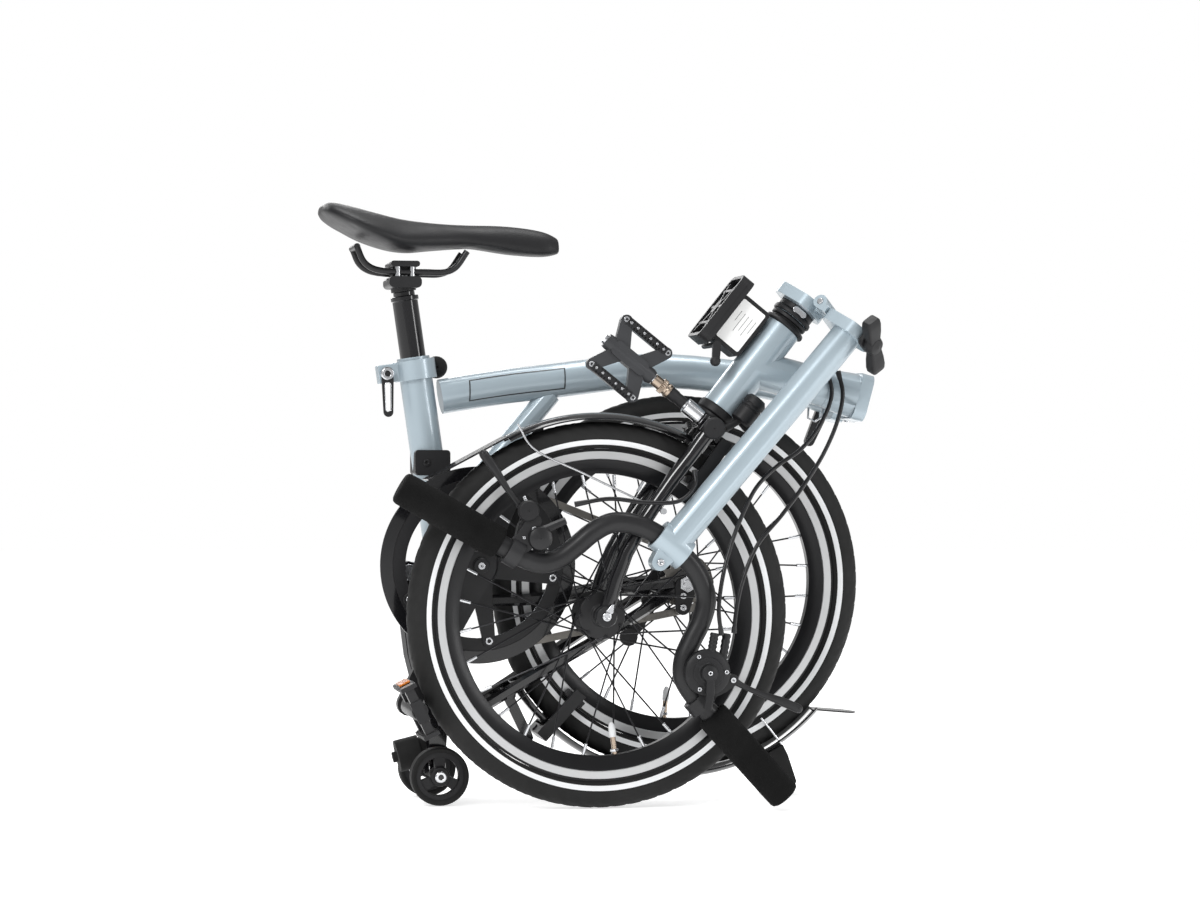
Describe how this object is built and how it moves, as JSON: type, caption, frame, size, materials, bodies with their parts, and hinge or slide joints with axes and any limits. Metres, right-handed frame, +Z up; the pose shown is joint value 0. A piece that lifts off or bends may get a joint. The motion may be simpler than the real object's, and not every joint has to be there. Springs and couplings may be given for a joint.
{
  "type": "folding bicycle",
  "caption": "Folding bicycle shown folded: curved main tube, hinged front half beside the rear wheel, folded handlepost with curved bars, saddle on a sliding post and small rollers.",
  "frame": {"origin": "middle of the base, on the ground that the front tyre, the two rollers and the rear mudguard's foot stand on", "axes": "+X towards the main hinge, +Y away from the chain side, +Z up; the narrowest way is Y and the tallest is Z"},
  "size_m": [0.6116, 0.2892, 0.661],
  "materials": {
    "frame_paint": "pale blue-grey metallic gloss",
    "gloss_black": "gloss black paint",
    "satin_black": "satin black",
    "plastic_black": "moulded matt black",
    "polished_steel": "polished steel",
    "rim_alloy": "machined brake track on black rim",
    "tyre_rubber": "black tread",
    "soft_rubber": "matt black",
    "grip_foam": "fine closed-cell foam",
    "saddle_cover": "matt synthetic leather",
    "cable_housing": "black extruded housing"
  },
  "bodies": {
    "main_frame": {"main_frame": "frame_paint", "seat_clamp": "frame_paint", "bb_cup_right": "satin_black", "bb_cup_left": "satin_black", "rear_pivot_pin": "polished_steel", "main_hinge_pin": "polished_steel", "chain": "polished_steel"},
    "seat_clamp_lever": {"seat_clamp_lever": "polished_steel"},
    "main_clamp_lever": {"main_clamp_lever": "satin_black"},
    "seatpost": {"seatpost": "gloss_black", "saddle_clamp": "satin_black", "saddle_rails": "satin_black", "saddle_cover": "saddle_cover"},
    "crankset": {"crank_spindle": "polished_steel", "crank_right": "satin_black", "crank_left": "satin_black", "chainring": "satin_black"},
    "pedal_right": {"pedal_right": "satin_black"},
    "front_frame": {"front_frame": "frame_paint", "headset_upper": "plastic_black", "headset_lower": "plastic_black", "carrier_block": "plastic_black", "gear_cable": "cable_housing", "rear_brake_cable": "cable_housing", "front_brake_cable": "cable_housing"},
    "carrier_latch": {"carrier_latch": "plastic_black"},
    "fork": {"fork": "gloss_black", "handlepost_base": "frame_paint", "stem_hinge_pin": "polished_steel", "front_axle": "polished_steel", "front_mudguard": "satin_black", "front_caliper": "satin_black", "front_lamp": "plastic_black", "pedal_socket": "polished_steel"},
    "stowed_pedal_axle": {"stowed_pedal_axle": "polished_steel"},
    "stowed_pedal": {"stowed_pedal_cage": "satin_black"},
    "front_wheel": {"front_tyre": "tyre_rubber", "front_rim": "rim_alloy", "front_hub": "polished_steel"},
    "handlepost": {"handlepost": "frame_paint", "handlebar": "satin_black", "grip_left": "grip_foam", "grip_right": "grip_foam", "brake_bracket_left": "plastic_black", "shifter_body": "plastic_black"},
    "stem_clamp_handle": {"stem_clamp_handle": "plastic_black"},
    "brake_lever_left": {"brake_lever_left": "satin_black"},
    "brake_lever_right": {"brake_lever_right": "satin_black"},
    "shift_trigger": {"shift_trigger": "plastic_black"},
    "rear_frame": {"rear_frame": "gloss_black", "suspension_block": "soft_rubber", "rear_axle": "polished_steel", "rear_mudguard": "satin_black", "rear_caliper": "satin_black", "chain_tensioner": "plastic_black"},
    "rear_wheel": {"rear_tyre": "tyre_rubber", "rear_rim": "rim_alloy", "rear_hub": "polished_steel"},
    "roller_near": {"roller_near": "plastic_black"},
    "roller_far": {"roller_far": "plastic_black"}
  },
  "joints": [
    {"name": "main_hinge", "type": "hinge", "parent": "main_frame", "child": "front_frame", "pos_m": [0.28725, 0.02007, 0.444], "axis": [0.26, 0, 0.9656], "range_deg": [0, 180], "deforming": ["gear_cable", "rear_brake_cable", "front_brake_cable"]},
    {"name": "steering", "type": "hinge", "parent": "front_frame", "child": "fork", "pos_m": [0.11725, -0.03243, 0.426], "axis": [0.625, 0, 0.7806], "range_deg": [-180, 0]},
    {"name": "handlepost_hinge", "type": "hinge", "parent": "fork", "child": "handlepost", "pos_m": [0.23618, -0.06468, 0.53895], "axis": [-0.552, -0.7071, 0.4419], "range_deg": [0, 180]},
    {"name": "rear_fold", "type": "hinge", "parent": "main_frame", "child": "rear_frame", "pos_m": [-0.20975, 0.07257, 0.254], "axis": [0, 1, 0], "range_deg": [0, 165], "deforming": ["chain"]},
    {"name": "seatpost_slide", "type": "slide", "parent": "main_frame", "child": "seatpost", "axis": [-0.1419, 0, 0.9899], "range_m": [0, 0.2]},
    {"name": "seat_clamp_release", "type": "hinge", "parent": "main_frame", "child": "seat_clamp_lever", "pos_m": [-0.23156, 0.07257, 0.47196], "axis": [0, 1, 0], "range_deg": [0, 100]},
    {"name": "main_clamp_turn", "type": "hinge", "parent": "main_frame", "child": "main_clamp_lever", "pos_m": [0.28049, 0.09457, 0.44582], "axis": [0, 1, 0], "range_deg": [0, 150]},
    {"name": "crank_turn", "type": "hinge", "parent": "main_frame", "child": "crankset", "pos_m": [-0.13575, 0.07257, 0.262], "axis": [0, 1, 0], "range_deg": [0, 65]},
    {"name": "pedal_right_spin", "type": "hinge", "parent": "crankset", "child": "pedal_right", "pos_m": [-0.21556, 0.07257, 0.1119], "axis": [0, 1, 0], "range_deg": [-65, 0]},
    {"name": "front_wheel_spin", "type": "hinge", "parent": "fork", "child": "front_wheel", "pos_m": [-0.01275, -0.03243, 0.2095], "axis": [0, 1, 0], "continuous": true},
    {"name": "rear_wheel_spin", "type": "hinge", "parent": "rear_frame", "child": "rear_wheel", "pos_m": [0.09625, 0.07257, 0.24], "axis": [0, 1, 0], "continuous": true},
    {"name": "roller_near_spin", "type": "hinge", "parent": "rear_frame", "child": "roller_near", "pos_m": [-0.17875, 0.02257, 0.032], "axis": [0, 1, 0], "continuous": true},
    {"name": "roller_far_spin", "type": "hinge", "parent": "rear_frame", "child": "roller_far", "pos_m": [-0.17875, 0.12257, 0.032], "axis": [0, 1, 0], "continuous": true},
    {"name": "pedal_stow_pull", "type": "slide", "parent": "fork", "child": "stowed_pedal_axle", "axis": [-0.7806, 0, 0.625], "range_m": [0, 0.012]},
    {"name": "stowed_pedal_spin", "type": "hinge", "parent": "stowed_pedal_axle", "child": "stowed_pedal", "pos_m": [0.01732, -0.05243, 0.48679], "axis": [0.7806, 0, -0.625], "continuous": true},
    {"name": "carrier_latch_lift", "type": "hinge", "parent": "front_frame", "child": "carrier_latch", "pos_m": [0.11166, -0.03243, 0.50221], "axis": [0, 1, 0], "range_deg": [0, 35], "stiffness_Nm_per_rad": 0.05},
    {"name": "stem_clamp_turn", "type": "hinge", "parent": "handlepost", "child": "stem_clamp_handle", "pos_m": [0.26603, -0.10852, 0.50609], "axis": [0.552, -0.7071, -0.4419], "continuous": true},
    {"name": "brake_lever_left_pull", "type": "hinge", "parent": "handlepost", "child": "brake_lever_left", "pos_m": [-0.09995, -0.09193, 0.31871], "axis": [0, -1, 0], "range_deg": [0, 20], "stiffness_Nm_per_rad": 0.8},
    {"name": "brake_lever_right_pull", "type": "hinge", "parent": "handlepost", "child": "brake_lever_right", "pos_m": [0.12176, -0.09193, 0.14122], "axis": [0, 1, 0], "range_deg": [0, 20], "stiffness_Nm_per_rad": 0.8},
    {"name": "shift_trigger_push", "type": "hinge", "parent": "handlepost", "child": "shift_trigger", "pos_m": [0.09084, -0.11933, 0.1506], "axis": [0, 1, 0], "range_deg": [0, 30], "stiffness_Nm_per_rad": 0.2}
  ],
  "couplings": [
    {"joint": "steering", "follows": "main_hinge", "ratio": -1},
    {"joint": "handlepost_hinge", "follows": "main_hinge", "ratio": 1},
    {"joint": "rear_fold", "follows": "main_hinge", "ratio": 0.91667},
    {"joint": "pedal_right_spin", "follows": "crank_turn", "ratio": -1}
  ]
}
